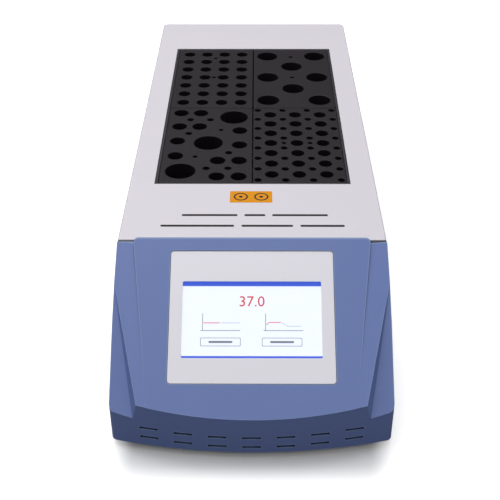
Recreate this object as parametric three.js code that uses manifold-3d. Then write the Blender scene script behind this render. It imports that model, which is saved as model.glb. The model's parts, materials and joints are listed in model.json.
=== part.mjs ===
// Dry block heater: a benchtop heater with four lift-out blocks and a sloped touch-screen panel.
// Millimetres. +Z is up, the front faces -Y, and the origin is on the bench under the middle.
import * as THREE from "three";
import { ConvexGeometry } from "three/addons/geometries/ConvexGeometry.js";
import { mergeVertices } from "three/addons/utils/BufferGeometryUtils.js";
import Module from "manifold-3d";

const wasm = await Module();
wasm.setup();

// ---- Driving dimensions ----
const gap = 0.3; // clearance between neighbouring pieces
const bodyWidth = 197;
const bodyHeight = 113;
const footHeight = 5;
const deckFront = 79.5; // front edge of the cover to the well
const deckBack = 70.5; // back edge of the well to the back of the cover
const wellWidth = 157;
const wellLength = 274.8;
const panelRun = 107.4; // how far the front housing reaches in front of the cover
const panelAngle = THREE.MathUtils.degToRad(36);
const coverWall = 2;
const housingWall = 2.5;
const sheet = 1.5; // folded sheet metal

// ---- Worked out from them ----
const halfWidth = bodyWidth / 2;
const coverLength = deckFront + wellLength + deckBack;
const backY = (coverLength + panelRun) / 2;
const seamY = backY - coverLength; // where the cover meets the front housing
const wellY = seamY + deckFront + wellLength / 2; // middle of the well
const slope = Math.tan(panelAngle);

// ---- Colours ----
const finish = (color, roughness, metalness) => ({ color, roughness, metalness });
const coverGrey = finish(0xdbd7de, 0.45, 0);
const housingBlue = finish(0x6f82ad, 0.5, 0);
const bezelGrey = finish(0xd9d6e0, 0.4, 0);
const screenGlass = finish(0xe9ecf5, 0.1, 0);
const anodisedBlack = finish(0x34323a, 0.5, 0.6);
const linerBlack = finish(0x221f26, 0.6, 0);
const aluminium = finish(0xb9bcc0, 0.4, 1);
const steel = finish(0x9a9da1, 0.35, 1);
const zincSheet = finish(0xa9adb0, 0.5, 1);
const rubber = finish(0x1c1c1d, 0.9, 0);
const blackPlastic = finish(0x202124, 0.5, 0);
const whiteWool = finish(0xd8d2c4, 1, 0);
const siliconeOrange = finish(0xb5472b, 0.7, 0);
const boardGreen = finish(0x1f5a3a, 0.5, 0);
const copper = finish(0xb87333, 0.4, 1);
const glass = finish(0xdfe6e6, 0.1, 0);
const labelSilver = finish(0xc3c5c8, 0.5, 0.4);

// ---- Solids ----
// A closed three.js geometry as a solid that can be joined and cut.
function solid(geometry) {
  const bare = new THREE.BufferGeometry();
  bare.setAttribute("position", geometry.getAttribute("position"));
  if (geometry.index) bare.setIndex(geometry.index);
  const merged = mergeVertices(bare, 1e-4);
  return new wasm.Manifold(
    new wasm.Mesh({
      numProp: 3,
      vertProperties: merged.attributes.position.array,
      triVerts: new Uint32Array(merged.index.array),
    }),
  );
}

function geometryOf(body) {
  const mesh = body.getMesh();
  const indexed = new THREE.BufferGeometry();
  indexed.setAttribute("position", new THREE.BufferAttribute(mesh.vertProperties, 3));
  indexed.setIndex(new THREE.BufferAttribute(mesh.triVerts, 1));
  const faceted = indexed.toNonIndexed();
  faceted.computeVertexNormals();
  return faceted;
}

const joined = (...bodies) => bodies.reduce((whole, body) => whole.add(body));
const cut = (body, ...tools) => tools.reduce((rest, tool) => rest.subtract(tool), body);

// A box from its lowest corner to its highest corner.
function block([x0, y0, z0], [x1, y1, z1]) {
  const box = new THREE.BoxGeometry(x1 - x0, y1 - y0, z1 - z0);
  return solid(box.translate((x0 + x1) / 2, (y0 + y1) / 2, (z0 + z1) / 2));
}

// A box of the given size standing on z0, with its middle at x, y.
function standing(x, y, z0, [width, length, height]) {
  const low = [x - width / 2, y - length / 2, z0];
  return block(low, [x + width / 2, y + length / 2, z0 + height]);
}

// A flat outline pushed up from z0 to z1.
function upright(shape, z0, z1, curveSegments = 6) {
  const options = { depth: z1 - z0, bevelEnabled: false, curveSegments };
  return solid(new THREE.ExtrudeGeometry(shape, options).translate(0, 0, z0));
}

// A side profile, given as [y, z] points going anticlockwise, carried along X.
function across(points, x0, x1) {
  const shape = new THREE.Shape(points.map(([y, z]) => new THREE.Vector2(y, z)));
  const geometry = new THREE.ExtrudeGeometry(shape, { depth: x1 - x0, bevelEnabled: false });
  const turn = new THREE.Matrix4().set(0, 0, 1, x0, 1, 0, 0, 0, 0, 1, 0, 0, 0, 0, 0, 1);
  return solid(geometry.applyMatrix4(turn));
}

function roundedRectangle(width, length, radius, x = 0, y = 0) {
  const [w, l, r] = [width / 2, length / 2, radius];
  const shape = new THREE.Shape();
  shape.absarc(x + w - r, y + l - r, r, 0, Math.PI / 2, false);
  shape.absarc(x - w + r, y + l - r, r, Math.PI / 2, Math.PI, false);
  shape.absarc(x - w + r, y - l + r, r, Math.PI, Math.PI * 1.5, false);
  shape.absarc(x + w - r, y - l + r, r, Math.PI * 1.5, Math.PI * 2, false);
  shape.closePath();
  return shape;
}

// A turned piece from [radius, height] points that start and end on the axis, standing at x, y, z.
function turned(points, sides, x, y, z) {
  const profile = points.map(([radius, height]) => new THREE.Vector2(radius, height));
  const lathe = new THREE.LatheGeometry(profile, sides).rotateX(Math.PI / 2);
  return solid(lathe.translate(x, y, z));
}

function rod(radius, z0, z1, x, y, sides = 12) {
  return turned([[0, 0], [radius, 0], [radius, z1 - z0], [0, z1 - z0]], sides, x, y, z0);
}

// A rod along X or Y instead of Z.
function lyingRod(axis, radius, length, x, y, z, sides = 12) {
  const cylinder = new THREE.CylinderGeometry(radius, radius, length, sides);
  if (axis === "x") cylinder.rotateZ(Math.PI / 2);
  return solid(cylinder.translate(x, y, z));
}

// ---- The assembly ----
const machine = new THREE.Group();

function place(name, body, look, parent = machine) {
  const mesh = new THREE.Mesh(geometryOf(body), new THREE.MeshStandardMaterial(look));
  mesh.name = name;
  parent.add(mesh);
  return mesh;
}

// ---- Top cover ----
const coverCornerRadius = 5;
const coverEdge = 1.5; // bevel along the top edges
const rearWindow = { width: 172, bottom: 17, top: 89 };
const screwY = [seamY + 40, backY - 60];
const screwZ = 13;

function topCover() {
  const run = 20; // extra length in front, trimmed off to leave a clean front edge
  const length = coverLength + run;
  const outline = roundedRectangle(
    bodyWidth - 2 * coverEdge,
    length - 2 * coverEdge,
    coverCornerRadius - coverEdge,
    0,
    backY - length / 2,
  );
  const bevelled = new THREE.ExtrudeGeometry(outline, {
    depth: bodyHeight - footHeight - coverEdge,
    bevelSize: coverEdge,
    bevelThickness: coverEdge,
    bevelSegments: 2,
    curveSegments: 4,
  });
  const shell = solid(bevelled.translate(0, 0, footHeight));
  const inner = halfWidth - coverWall;
  const deckUnderside = bodyHeight - coverWall;
  const openings = [
    block([-halfWidth - 1, seamY - run - 1, -5], [halfWidth + 1, seamY, bodyHeight + 1]),
    block([-halfWidth - 1, seamY - 1, -5], [halfWidth + 1, backY + 1, footHeight]),
    block([-inner, seamY - 1, 0], [inner, backY - coverWall, deckUnderside]),
    standing(0, wellY, deckUnderside - 1, [wellWidth, wellLength, 5]),
    block(
      [-rearWindow.width / 2, backY - 5, rearWindow.bottom],
      [rearWindow.width / 2, backY + 1, rearWindow.top],
    ),
  ];
  for (const y of screwY) {
    for (const side of [-1, 1]) {
      openings.push(lyingRod("x", 2.3, 12, side * (halfWidth - 3), y, screwZ));
      openings.push(lyingRod("x", 4, 2.8, side * halfWidth, y, screwZ));
    }
  }
  return cut(shell, ...openings);
}

place("top_cover", topCover(), coverGrey);

// ---- Front housing ----
const bowRadius = 400; // plan radius of the lower band
const cornerRadius = 5;
const housingHalf = 99.7; // half width of the housing along its sides
const flareLength = 50; // over which it widens from the cover's width
const bowCentreY = seamY - panelRun + bowRadius;
const panelTopHalf = 86.8; // half width of the middle panel at the seam
const panelTaper = 0.14; // its half width lost per mm towards the front
const panelLift = 1.3; // its height above the cover, carried down the slope
const lipReach = 0.3; // how far its back edge laps over the cover
const shoulderDrop = 0.9; // side shoulders below the middle panel at the seam
const shoulderSlope = Math.tan(THREE.MathUtils.degToRad(35.1));
const shoulderSetback = 0.8;
const frontReach = seamY - panelRun - 10; // any plane safely in front of the housing
const panelZ = (y, tilt = slope) => bodyHeight - (seamY - y) * tilt;

// Plan outline of the front housing, moved inwards by inset and open to the back.
function frontOutline(inset, openY) {
  const half = housingHalf - inset;
  const backHalf = halfWidth + 0.3 - inset;
  const radius = cornerRadius - inset;
  const bow = bowRadius - inset;
  const x = half - radius;
  const y = bowCentreY - Math.sqrt((bow - radius) ** 2 - x ** 2);
  const turn = Math.atan2(y - bowCentreY, x);
  const shape = new THREE.Shape();
  shape.moveTo(backHalf, openY);
  shape.lineTo(-backHalf, openY);
  shape.lineTo(-half, seamY - flareLength);
  shape.absarc(-x, y, radius, Math.PI, Math.PI - turn, false);
  shape.absarc(0, bowCentreY, bow, Math.PI - turn, 2 * Math.PI + turn, false);
  shape.absarc(x, y, radius, 2 * Math.PI + turn, 2 * Math.PI, false);
  shape.lineTo(half, seamY - flareLength);
  shape.closePath();
  return shape;
}

// Plan outline of the raised middle panel: it narrows towards the front and has round back corners.
function middleColumn() {
  const radius = 4;
  const backEdge = seamY + lipReach;
  const frontHalf = panelTopHalf - panelTaper * (seamY - frontReach);
  const sideHalf = panelTopHalf - panelTaper * (radius - lipReach);
  const shape = new THREE.Shape();
  shape.moveTo(frontHalf, frontReach);
  shape.lineTo(sideHalf, backEdge - radius);
  shape.quadraticCurveTo(panelTopHalf, backEdge, panelTopHalf - radius, backEdge);
  shape.lineTo(-panelTopHalf + radius, backEdge);
  shape.quadraticCurveTo(-panelTopHalf, backEdge, -sideHalf, backEdge - radius);
  shape.lineTo(-frontHalf, frontReach);
  shape.closePath();
  return shape;
}

function sideProfile(fromY, drop, tilt, bottom) {
  return across(
    [
      [fromY, bottom],
      [fromY, panelZ(fromY, tilt) - drop],
      [frontReach, panelZ(frontReach, tilt) - drop],
      [frontReach, bottom],
    ],
    -housingHalf - 1,
    housingHalf + 1,
  );
}

const wingStart = 25; // from the seam to where the wings leave the shoulders
const wingSlope = Math.tan(THREE.MathUtils.degToRad(41.4));
const wingInner = { top: 79.9, bottom: 82.9 }; // half widths where a wing meets the band
const wingFront = 98.5; // from the seam to the band there

// What is cut away above one wing: the corner of the housing falls below its shoulder
// along a slanted step.
function aboveWing(side) {
  const outer = housingHalf + 6;
  const beyond = 1.15; // carries the two edges of the step past the band
  const startZ = panelZ(seamY - wingStart, shoulderSlope) - shoulderDrop;
  const run = (wingFront - wingStart) * beyond;
  const inward = (to) => (housingHalf - to) * beyond;
  const corners = [
    [housingHalf, -wingStart, startZ],
    [housingHalf - inward(wingInner.top), -wingStart - run, startZ - run * shoulderSlope],
    [housingHalf - inward(wingInner.bottom), -wingStart - run, startZ - run * wingSlope],
    [outer, -wingStart, startZ],
    [outer, -wingStart - run, startZ - run * wingSlope],
    [outer, -wingStart, startZ + 8],
    [outer, -wingStart - run, startZ - run * shoulderSlope + 20],
  ];
  const points = corners.map(([x, y, z]) => new THREE.Vector3(side * x, seamY + y, z));
  return solid(new ConvexGeometry(points));
}

const screenWidth = 99.3;
const screenHeight = 56.3;
const screenDrop = 33.2 + screenHeight / 2; // down the slope from the seam to the middle of the screen
const bezelWidth = 117.4;
const bezelHeight = 97.5;
const bezelDrop = 10.1 + bezelHeight / 2;
const bezelSeat = 1.2; // depth of its seat in the panel
const glassMargin = 2;
const moduleRoom = 136; // width of the hollow behind the screen, which reaches up to the raised panel

// The panel's own frame: x across, y up the slope, z out of the panel, from the middle of the seam.
const panel = new THREE.Group();
panel.position.set(0, seamY, bodyHeight + panelLift);
panel.rotation.x = panelAngle;
panel.updateMatrix();
machine.add(panel);

const onPanel = (body) => solid(geometryOf(body).applyMatrix4(panel.matrix));

const ventColumns = [-3, -2, -1, 0, 1, 2, 3].map((column) => column * 24);
const ventRows = [18.9, 10.2]; // heights of the two rows at the middle

function ventSlots() {
  const slots = [];
  for (const x of ventColumns) {
    const rise = 2.6 * (x / 72) ** 2; // the rows follow the bowed edge
    for (const z of ventRows) {
      slots.push(standing(x, seamY - panelRun + 5, z + rise - 1, [13, 40, 2]));
    }
  }
  return slots;
}

function frontHousing() {
  const plan = upright(frontOutline(0, seamY + lipReach), footHeight, bodyHeight + 2, 10);
  const column = upright(middleColumn(), 0, bodyHeight + 2);
  const coverRoom = block(
    [-housingHalf - 1, seamY - gap, 0],
    [housingHalf + 1, seamY + 2 * lipReach, bodyHeight + gap],
  );
  const ramp = sideProfile(seamY + lipReach, -panelLift, slope, footHeight);
  const middle = cut(ramp.intersect(column), coverRoom);
  const shoulders = sideProfile(seamY - shoulderSetback, shoulderDrop, shoulderSlope, footHeight);
  const body = joined(cut(shoulders, column), middle).intersect(plan);
  const outside = cut(body, aboveWing(-1), aboveWing(1));
  const skin = housingWall / Math.cos(panelAngle) + 0.6; // thickness of the sloped wall, upright
  const underPanel = sideProfile(seamY - housingWall, skin - panelLift, slope, 0).intersect(
    block([-moduleRoom / 2, frontReach, 0], [moduleRoom / 2, seamY, bodyHeight]),
  );
  const ceiling = joined(sideProfile(seamY + 4, skin, slope, 0), underPanel);
  const inside = upright(frontOutline(housingWall, seamY + 5), 0, bodyHeight + 1, 10)
    .intersect(ceiling);
  // The hollow stays a wall's thickness under the wings and inside their steps.
  const hollow = cut(
    inside,
    aboveWing(-1).translate([housingWall, 1, -housingWall - 1]),
    aboveWing(1).translate([-housingWall, 1, -housingWall - 1]),
  );
  const lap = block([-84, seamY - 4, bodyHeight - 5.4], [84, seamY + 6, bodyHeight - 3.6]);
  const seat = roundedRectangle(bezelWidth + 2 * gap, bezelHeight + 2 * gap, 2.5, 0, -bezelDrop);
  const windowWidth = screenWidth + 2 * glassMargin + 2 * gap;
  const windowHeight = screenHeight + 2 * glassMargin + 2 * gap;
  const shell = joined(cut(outside, hollow), lap);
  return cut(
    shell,
    onPanel(upright(seat, -bezelSeat, 5, 3)),
    onPanel(standing(0, -screenDrop, -8, [windowWidth, windowHeight, 12])),
    ...ventSlots(),
  );
}

place("front_housing", frontHousing(), housingBlue);

// ---- Screen, from the face inwards ----
const bezelThickness = 1.8;
const bezelBack = gap - bezelSeat;
const glassThickness = 1.4;
const glassFront = bezelBack - gap;
const moduleFront = glassFront - glassThickness - gap - 0.8;
const moduleThickness = 3.4;
const boardThickness = 1.6;
const boardFront = moduleFront - moduleThickness - gap;
const bracketFront = boardFront - boardThickness - 4;

const bezelPlate = upright(
  roundedRectangle(bezelWidth, bezelHeight, 2.2, 0, -bezelDrop),
  bezelBack,
  bezelBack + bezelThickness,
  3,
);
const bezelWindow = upright(
  roundedRectangle(screenWidth, screenHeight, 1, 0, -screenDrop),
  bezelBack - 1,
  bezelBack + bezelThickness + 1,
  2,
);
place("screen_bezel", cut(bezelPlate, bezelWindow), bezelGrey, panel);

const glassSize = [screenWidth + 2 * glassMargin, screenHeight + 2 * glassMargin, glassThickness];
place("touch_glass", standing(0, -screenDrop, glassFront - glassThickness, glassSize), screenGlass, panel);

const moduleSize = [106, 69, moduleThickness];
place("lcd_module", standing(0, -screenDrop, moduleFront - moduleThickness, moduleSize), steel, panel);

function displayBoard() {
  const low = boardFront - boardThickness;
  return joined(
    standing(0, -screenDrop, low, [114, 80, boardThickness]),
    standing(-30, -screenDrop - 20, low - 3, [18, 18, 3.5]),
    standing(26, -screenDrop + 14, low - 3, [24, 8, 3.5]),
  );
}
place("display_board", displayBoard(), boardGreen, panel);

// A pressed frame behind the display board, with a large opening over the board's components.
const bracketPlate = standing(0, -screenDrop, bracketFront - 1.2, [126, 88, 1.2]);
const bracketOpening = standing(0, -screenDrop, bracketFront - 3, [96, 60, 6]);
place("display_bracket", cut(bracketPlate, bracketOpening), zincSheet, panel);

// ---- Well liner, blocks and what heats them ----
const linerWall = 2;
const linerWidth = wellWidth - 2 * gap;
const linerLength = wellLength - 2 * gap;
const linerTop = bodyHeight - 0.3;
const linerBottom = 52;
const wellInnerWidth = linerWidth - 2 * linerWall;
const wellInnerLength = linerLength - 2 * linerWall;
const linerFlange = 4;

function wellLiner() {
  const flangeTop = bodyHeight - coverWall - gap;
  const width = linerWidth + 2 * linerFlange;
  const length = linerLength + 2 * linerFlange;
  return cut(
    joined(
      standing(0, wellY, linerBottom, [linerWidth, linerLength, linerTop - linerBottom]),
      standing(0, wellY, flangeTop - 2, [width, length, 2]),
    ),
    standing(0, wellY, linerBottom - 1, [wellInnerWidth, wellInnerLength, 80]),
  );
}
place("well_liner", wellLiner(), linerBlack);

const blockSpacing = 0.8; // between two neighbouring blocks
const blockWidth = (wellInnerWidth - blockSpacing - 2 * gap) / 2;
const blockLength = (wellInnerLength - blockSpacing - 2 * gap) / 2;
const blockBottom = 62.5;
const blockTop = bodyHeight - 0.3;
const blockX = (blockWidth + blockSpacing) / 2;
const blockY = (blockLength + blockSpacing) / 2;

// Wells: diameter, depth, the height of the cone at the bottom, and the facets of the circle.
const wellKinds = {
  strip: { diameter: 5.8, depth: 18, cone: 5, sides: 8 },
  micro: { diameter: 10.8, depth: 36, cone: 12, sides: 10 },
  vial: { diameter: 12.8, depth: 40, cone: 4, sides: 12 },
  culture: { diameter: 20.3, depth: 44, cone: 3, sides: 16 },
  centrifuge: { diameter: 24.8, depth: 44, cone: 6, sides: 18 },
  lifting: { diameter: 4, depth: 14, cone: 1, sides: 6 },
};

function well(kind, x, y) {
  const { diameter, depth, cone, sides } = wellKinds[kind];
  const radius = diameter / 2;
  const over = 2; // the cutter stands proud of the block's top
  const profile = [[0, 0], [radius, cone], [radius, depth + over], [0, depth + over]];
  return turned(profile, sides, x, y, blockTop - depth);
}

// Places in a grid around the block's middle.
function grid(columns, rows, pitchX, pitchY) {
  const places = [];
  for (let i = 0; i < columns; i += 1) {
    for (let j = 0; j < rows; j += 1) {
      places.push([(i - (columns - 1) / 2) * pitchX, (j - (rows - 1) / 2) * pitchY]);
    }
  }
  return places;
}

const withHalfTurn = (places) => places.concat(places.map(([x, y]) => [-x, -y]));

const drillings = {
  block_front_right: {
    micro: grid(3, 7, 22.4, 17.95),
    strip: grid(4, 8, 22.4, 17.95),
    lifting: [[-11.2, 0], [11.2, 0]],
  },
  block_front_left: {
    centrifuge: [[0, 0], ...withHalfTurn([[21.1, 48.6]])],
    vial: withHalfTurn([
      [-26.8, 57.2],
      [-9, 57.2],
      [-26.8, 30.7],
      [-9, 30.7],
      [-26.8, 3.5],
      [-26.8, -23],
    ]),
    strip: withHalfTurn([[-17.9, 43.9], [0, 43.9], [-17.9, 17.4]]),
    lifting: withHalfTurn([[10.2, 24.2]]),
  },
  block_back_right: {
    culture: withHalfTurn([[23.9, 0], [23.9, 51.1], [-23.9, 51.1], [0, 25.8]]),
    lifting: [[0, 0], [0, 49.6]],
  },
  block_back_left: {
    micro: grid(4, 7, 17.8, 18.6),
    lifting: [[0, 0], [0, 46.5]],
  },
};

for (const [name, kinds] of Object.entries(drillings)) {
  const x = name.endsWith("right") ? blockX : -blockX;
  const y = wellY + (name.includes("back") ? blockY : -blockY);
  const size = [blockWidth, blockLength, blockTop - blockBottom];
  const wells = [];
  for (const [kind, places] of Object.entries(kinds)) {
    for (const [dx, dy] of places) wells.push(well(kind, x + dx, y + dy));
  }
  place(name, cut(standing(x, y, blockBottom, size), ...wells), anodisedBlack);
}

const plateHeight = 8;
const plateBottom = blockBottom - gap - plateHeight;
const matHeight = 1.6;
const matBottom = plateBottom - gap - matHeight;
const padHeight = 12;
const padBottom = matBottom - gap - padHeight;
const panBottom = padBottom - gap - sheet;
const sensorAt = [18, wellY - 40];
const cutoutAt = [-20, wellY + 40];
const packWidth = wellInnerWidth - 2 * gap;
const packLength = wellInnerLength - 2 * gap;

const sensorHole = (top) => rod(2.5, panBottom - 2, top, ...sensorAt);
const cutoutHole = rod(9, panBottom - 2, plateBottom - gap / 2, ...cutoutAt, 16);

place(
  "heater_plate",
  cut(standing(0, wellY, plateBottom, [packWidth, packLength, plateHeight]), sensorHole(plateBottom + 5)),
  aluminium,
);
place(
  "heater_mat",
  cut(standing(0, wellY, matBottom, [packWidth, packLength, matHeight]), sensorHole(60), cutoutHole),
  siliconeOrange,
);
place(
  "insulation_pad",
  cut(standing(0, wellY, padBottom, [packWidth, packLength, padHeight]), sensorHole(60), cutoutHole),
  whiteWool,
);
place("temperature_sensor", rod(2, panBottom - 4, plateBottom + 4.5, ...sensorAt), steel);
place("thermal_cutout", rod(8.2, panBottom + 2, plateBottom - gap, ...cutoutAt, 16), blackPlastic);

const panClearance = 0.4;
const panInnerWidth = linerWidth + 2 * panClearance;
const panInnerLength = linerLength + 2 * panClearance;
const panTop = 100;

function heaterPan() {
  const width = panInnerWidth + 2 * sheet;
  const length = panInnerLength + 2 * sheet;
  return cut(
    standing(0, wellY, panBottom, [width, length, panTop - panBottom]),
    standing(0, wellY, panBottom + sheet, [panInnerWidth, panInnerLength, 80]),
    sensorHole(60),
  );
}
place("heater_pan", heaterPan(), zincSheet);

function insulationWrap() {
  const inside = [panInnerWidth + 2 * (sheet + gap), panInnerLength + 2 * (sheet + gap), 80];
  const outside = [inside[0] + 22, inside[1] + 22, 54];
  return cut(standing(0, wellY, 44, outside), standing(0, wellY, 30, inside));
}
place("insulation_wrap", insulationWrap(), whiteWool);

// ---- Base tray and feet ----
const trayHalf = 95.2;
const trayFlange = 14;
const trayTop = footHeight + sheet;
const footPlaces = {
  front_left: [-78, seamY - 72],
  front_right: [78, seamY - 72],
  back_left: [-78, backY - 26],
  back_right: [78, backY - 26],
};

function baseTray() {
  const trayBack = backY - coverWall - 2;
  const floorPlan = frontOutline(halfWidth - trayHalf + 0.6, trayBack);
  const floor = upright(floorPlan, footHeight, trayTop, 8);
  const trayFront = seamY + 2;
  const parts = [floor];
  for (const side of [-1, 1]) {
    const edges = [side * (trayHalf - 0.6), side * (trayHalf - 0.6 - sheet)].sort((a, b) => a - b);
    parts.push(
      block([edges[0], trayFront, footHeight], [edges[1], trayBack, footHeight + trayFlange]),
    );
  }
  const holes = [];
  for (const y of screwY) {
    for (const side of [-1, 1]) {
      holes.push(lyingRod("x", 2.3, 12, side * (trayHalf - 1.5), y, screwZ));
    }
  }
  for (let i = -3; i <= 3; i += 1) {
    holes.push(standing(-44, wellY + i * 26, 0, [44, 5, 20]));
    holes.push(standing(44, wellY + i * 26, 0, [44, 5, 20]));
  }
  return cut(joined(...parts), ...holes);
}
place("base_tray", baseTray(), zincSheet);

for (const [corner, [x, y]] of Object.entries(footPlaces)) {
  const top = footHeight - gap;
  const profile = [[0, 0], [7, 0], [8, 1], [8.5, top], [0, top]];
  place("foot_" + corner, turned(profile, 16, x, y, 0), rubber);
}

for (const side of [-1, 1]) {
  screwY.forEach((y, index) => {
    const head = lyingRod("x", 3.6, 1, side * (halfWidth - 0.6), y, screwZ);
    const shank = lyingRod("x", 1.9, 10, side * (halfWidth - 5.5), y, screwZ);
    const name = (side < 0 ? "left" : "right") + (index ? "_back" : "_front");
    place("cover_screw_" + name, joined(head, shank), steel);
  });
}

// Four standoffs carry the heater pan.
for (const [corner, sideX, sideY] of [
  ["front_left", -1, -1],
  ["front_right", 1, -1],
  ["back_left", -1, 1],
  ["back_right", 1, 1],
]) {
  const height = [trayTop + gap, panBottom - gap];
  place("pan_standoff_" + corner, rod(4, ...height, sideX * 70, wellY + sideY * 118, 6), steel);
}

// ---- Electronics on the tray ----
const boardMiddle = [0, seamY - 42];
const boardSize = [140, 62];
const boardBottom = trayTop + 8;

function controlBoard() {
  const [x, y] = boardMiddle;
  const top = boardBottom + 1.6;
  const bottom = top - 0.4; // components are let into the board a little, to join it
  return joined(
    standing(x, y, boardBottom, [...boardSize, 1.6]),
    standing(x - 40, y, bottom, [14, 14, 2.4]),
    standing(x + 5, y + 16, bottom, [30, 9, 9]),
    standing(x - 50, y - 22, bottom, [22, 8, 7]),
    rod(6, bottom, top + 16, x + 45, y - 12),
    rod(6, bottom, top + 16, x + 45, y + 8),
    standing(x + 22, y - 14, bottom, [16, 12, 12]),
  );
}
place("control_board", controlBoard(), boardGreen);

for (const [corner, sideX, sideY] of [
  ["front_left", -1, -1],
  ["front_right", 1, -1],
  ["back_left", -1, 1],
  ["back_right", 1, 1],
]) {
  const x = boardMiddle[0] + sideX * (boardSize[0] / 2 - 5);
  const y = boardMiddle[1] + sideY * (boardSize[1] / 2 - 5);
  place("board_standoff_" + corner, rod(3, trayTop + gap, boardBottom - gap, x, y, 6), steel);
}

// Transformer: a laminated core through a winding.
function transformer() {
  const [x, y, z] = [-48, seamY + 34, trayTop + gap];
  return joined(standing(x, y, z, [56, 26, 46]), standing(x, y, z + 8, [34, 44, 30]));
}
place("transformer", transformer(), copper);

function relayHeatSink() {
  const [x, y, z] = [48, seamY + 30, trayTop + gap];
  const fins = [-3, -2, -1, 0, 1, 2, 3].map((i) => standing(x + i * 9, y + 12, z, [2, 20, 44]));
  return joined(standing(x, y, z, [60, 5, 44]), ...fins);
}
place("relay_heat_sink", relayHeatSink(), aluminium);
place(
  "solid_state_relay",
  standing(48, seamY + 30 - 2.5 - gap - 7, trayTop + 2, [44, 14, 38]),
  blackPlastic,
);

// Ribbon cable from the display board down to the control board.
function displayRibbon() {
  const inPanel = (x, y, z) => new THREE.Vector3(x, y, z).applyMatrix4(panel.matrix);
  const back = boardFront - boardThickness - 3.6;
  const end = new THREE.Vector3(-50, boardMiddle[1] - 22, boardBottom + 9);
  const route = new THREE.CatmullRomCurve3([
    inPanel(-30, -screenDrop - 8, back),
    inPanel(-30, -screenDrop - 8, back - 12),
    new THREE.Vector3(-44, end.y - 3, end.z + 16),
    end,
  ]);
  const ribbon = new THREE.Shape();
  ribbon.moveTo(-0.4, -6);
  ribbon.lineTo(0.4, -6);
  ribbon.lineTo(0.4, 6);
  ribbon.lineTo(-0.4, 6);
  ribbon.closePath();
  return solid(new THREE.ExtrudeGeometry(ribbon, { steps: 10, extrudePath: route }));
}
place("display_ribbon", displayRibbon(), finish(0xa7adb5, 0.6, 0));

function terminalBlock() {
  const [x, y, z] = [20, backY - 40, trayTop + gap];
  const screws = [-2, -1, 0, 1, 2].map((i) => rod(2, z + 10, z + 18, x + i * 9, y, 8));
  return cut(standing(x, y, z, [48, 18, 15]), ...screws);
}
place("terminal_block", terminalBlock(), whiteWool);

const earthPlace = [66, backY - 46];
const earthNut = rod(4.5, 9, 12.5, ...earthPlace, 6);
place("earth_stud", joined(rod(2.4, trayTop + gap, 20, ...earthPlace), earthNut), copper);

// ---- Rear panel, mains inlet, fuses and switch ----
const panelFaceY = backY - 6; // outer face of the rear panel, recessed in the cover's window
const rearRim = backY - coverWall - gap;
const inlet = { x: -52, z: 52 };
const rocker = { x: -8, z: 52 };

function rearPanel() {
  const middleZ = (rearWindow.bottom + rearWindow.top) / 2;
  const height = rearWindow.top - rearWindow.bottom + 8;
  const width = rearWindow.width + 8;
  const [z0, z1] = [middleZ - height / 2, middleZ + height / 2];
  const tray = block([-width / 2, panelFaceY - sheet, z0], [width / 2, rearRim, z1]);
  const dish = block(
    [-width / 2 + sheet, panelFaceY, z0 + sheet],
    [width / 2 - sheet, rearRim + 5, z1 - sheet],
  );
  const holes = [
    block([inlet.x - 14.3, backY - 12, inlet.z - 25.3], [inlet.x + 14.3, backY, inlet.z + 25.3]),
    block([rocker.x - 8.3, backY - 12, rocker.z - 13.3], [rocker.x + 8.3, backY, rocker.z + 13.3]),
  ];
  for (let i = 0; i < 8; i += 1) {
    holes.push(block([26, backY - 12, 30 + i * 6], [74, backY, 32.5 + i * 6]));
  }
  return cut(tray, dish, ...holes);
}
place("rear_panel", rearPanel(), coverGrey);

const flangeBack = panelFaceY + gap;
const flangeFace = flangeBack + 2;
const socketMiddle = inlet.z + 10;
const drawerMiddle = inlet.z - 16;
const drawerDepth = 24;

// Mains inlet: a recessed three-pin socket above a pocket for the fuse drawer.
function inletSocket() {
  const flange = block(
    [inlet.x - 17, flangeBack, inlet.z - 28],
    [inlet.x + 17, flangeFace, inlet.z + 28],
  );
  const body = block(
    [inlet.x - 14, backY - 36, inlet.z - 25],
    [inlet.x + 14, flangeBack + 1, inlet.z + 25],
  );
  const socket = across([[0, 0], [20, 0], [20, 17], [0, 17]], inlet.x - 12.3, inlet.x + 12.3)
    .translate([0, flangeFace - 16, socketMiddle - 8.5]);
  const pocket = block(
    [inlet.x - 11.3, flangeFace - drawerDepth - gap, drawerMiddle - 5.8],
    [inlet.x + 11.3, flangeFace + 1, drawerMiddle + 5.8],
  );
  const pins = [[-7, -2], [0, 2], [7, -2]].map(([x, z]) =>
    standing(inlet.x + x, flangeFace - 11, socketMiddle + z - 2, [2, 12, 4]),
  );
  return joined(cut(joined(flange, body), socket, pocket), ...pins);
}
place("inlet_socket", inletSocket(), blackPlastic);

const fuseX = 5.2;
const fuseLength = 20;
const fuseMiddleY = flangeFace - 1.8 - fuseLength / 2 - gap;

function fuseDrawer() {
  const front = block(
    [inlet.x - 11, flangeFace - 1.5, drawerMiddle - 5.5],
    [inlet.x + 11, flangeFace, drawerMiddle + 5.5],
  );
  const grip = block(
    [inlet.x - 4, flangeFace - 0.5, drawerMiddle - 1],
    [inlet.x + 4, flangeFace + 1.2, drawerMiddle + 1],
  );
  const carrier = block(
    [inlet.x - 10, flangeFace - drawerDepth, drawerMiddle - 5],
    [inlet.x + 10, flangeFace - 1, drawerMiddle + 3.2],
  );
  const seats = [-1, 1].map((side) =>
    block(
      [inlet.x + side * fuseX - 3, fuseMiddleY - fuseLength / 2 - gap, drawerMiddle - 2.8],
      [inlet.x + side * fuseX + 3, fuseMiddleY + fuseLength / 2 + gap, drawerMiddle + 6],
    ),
  );
  return joined(cut(carrier, ...seats), front, grip);
}
place("fuse_drawer", fuseDrawer(), blackPlastic);

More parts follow.
